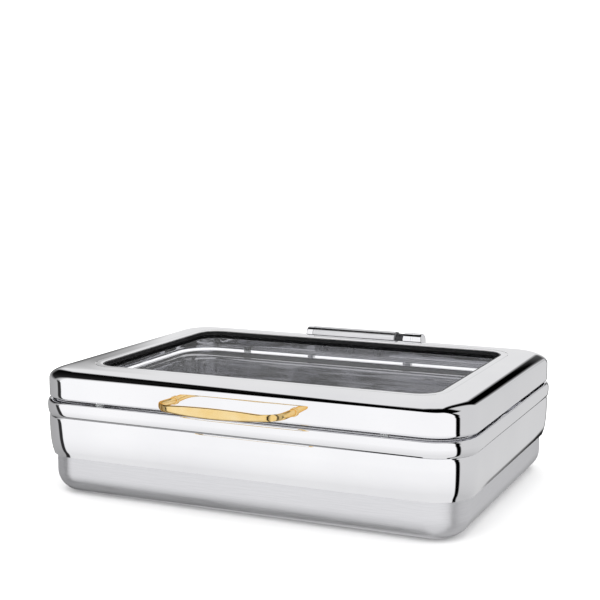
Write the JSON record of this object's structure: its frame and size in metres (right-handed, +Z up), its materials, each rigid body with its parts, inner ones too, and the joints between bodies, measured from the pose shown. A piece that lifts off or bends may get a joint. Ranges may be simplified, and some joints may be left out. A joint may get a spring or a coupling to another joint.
{
  "type": "chafing dish",
  "caption": "Low rectangular chafer with rounded corners: polished water bath body, food pan, and a hinged lid with a glass window, bowed front handle and damped back hinge.",
  "frame": {"origin": "on the surface that the chafer stands on, under the middle of its body, on the underside of the induction plate", "axes": "+X along the front edge, to the right as seen from the front; +Y from the handle to the hinge; +Z up"},
  "size_m": [0.57, 0.5024, 0.1655],
  "materials": {
    "polished_steel": "mirror polished",
    "satin_steel": "satin",
    "magnetic_steel": "rolled, dull",
    "window_glass": "clear tempered",
    "black_silicone": "matte",
    "clear_silicone": "translucent",
    "gold_plate": "polished gold plate",
    "fastener_steel": "turned",
    "spring_steel": "drawn wire",
    "damper_black": "moulded",
    "nylon": "moulded"
  },
  "bodies": {
    "base": {"induction_plate": "magnetic_steel", "water_pan": "satin_steel", "body_skirt": "polished_steel", "rim_band": "polished_steel", "deck_frame": "satin_steel", "hinge_base_bracket": "polished_steel", "hinge_backing_plate": "satin_steel", "hinge_base_screws": "fastener_steel", "hinge_base_nuts": "fastener_steel", "hinge_pin": "satin_steel", "hinge_cap_left": "polished_steel", "hinge_cap_right": "polished_steel", "hinge_damper": "damper_black", "hinge_spring": "spring_steel"},
    "lid": {"lid_shell": "polished_steel", "window_glass": "window_glass", "glass_gasket": "black_silicone", "retainer_frame": "satin_steel", "window_studs": "fastener_steel", "window_nuts": "fastener_steel", "lid_bumpers": "clear_silicone", "lid_handle": "gold_plate", "handle_washers": "fastener_steel", "handle_screws": "fastener_steel", "hinge_lid_leaf": "polished_steel", "lid_backing_bar": "satin_steel", "hinge_lid_screws": "fastener_steel", "hinge_lid_nuts": "fastener_steel", "hinge_bush_left": "nylon", "hinge_bush_right": "nylon"},
    "food_pan": {"food_pan": "satin_steel"}
  },
  "joints": [
    {"name": "lid_hinge", "type": "hinge", "parent": "base", "child": "lid", "pos_m": [0, 0.222, 0.153], "axis": [-1, 0, 0], "range_deg": [0, 90], "stiffness_Nm_per_rad": 1.5, "springref_deg": 90},
    {"name": "pan_lift", "type": "slide", "parent": "base", "child": "food_pan", "axis": [0, 0, 1], "range_m": [0, 0.022]}
  ]
}
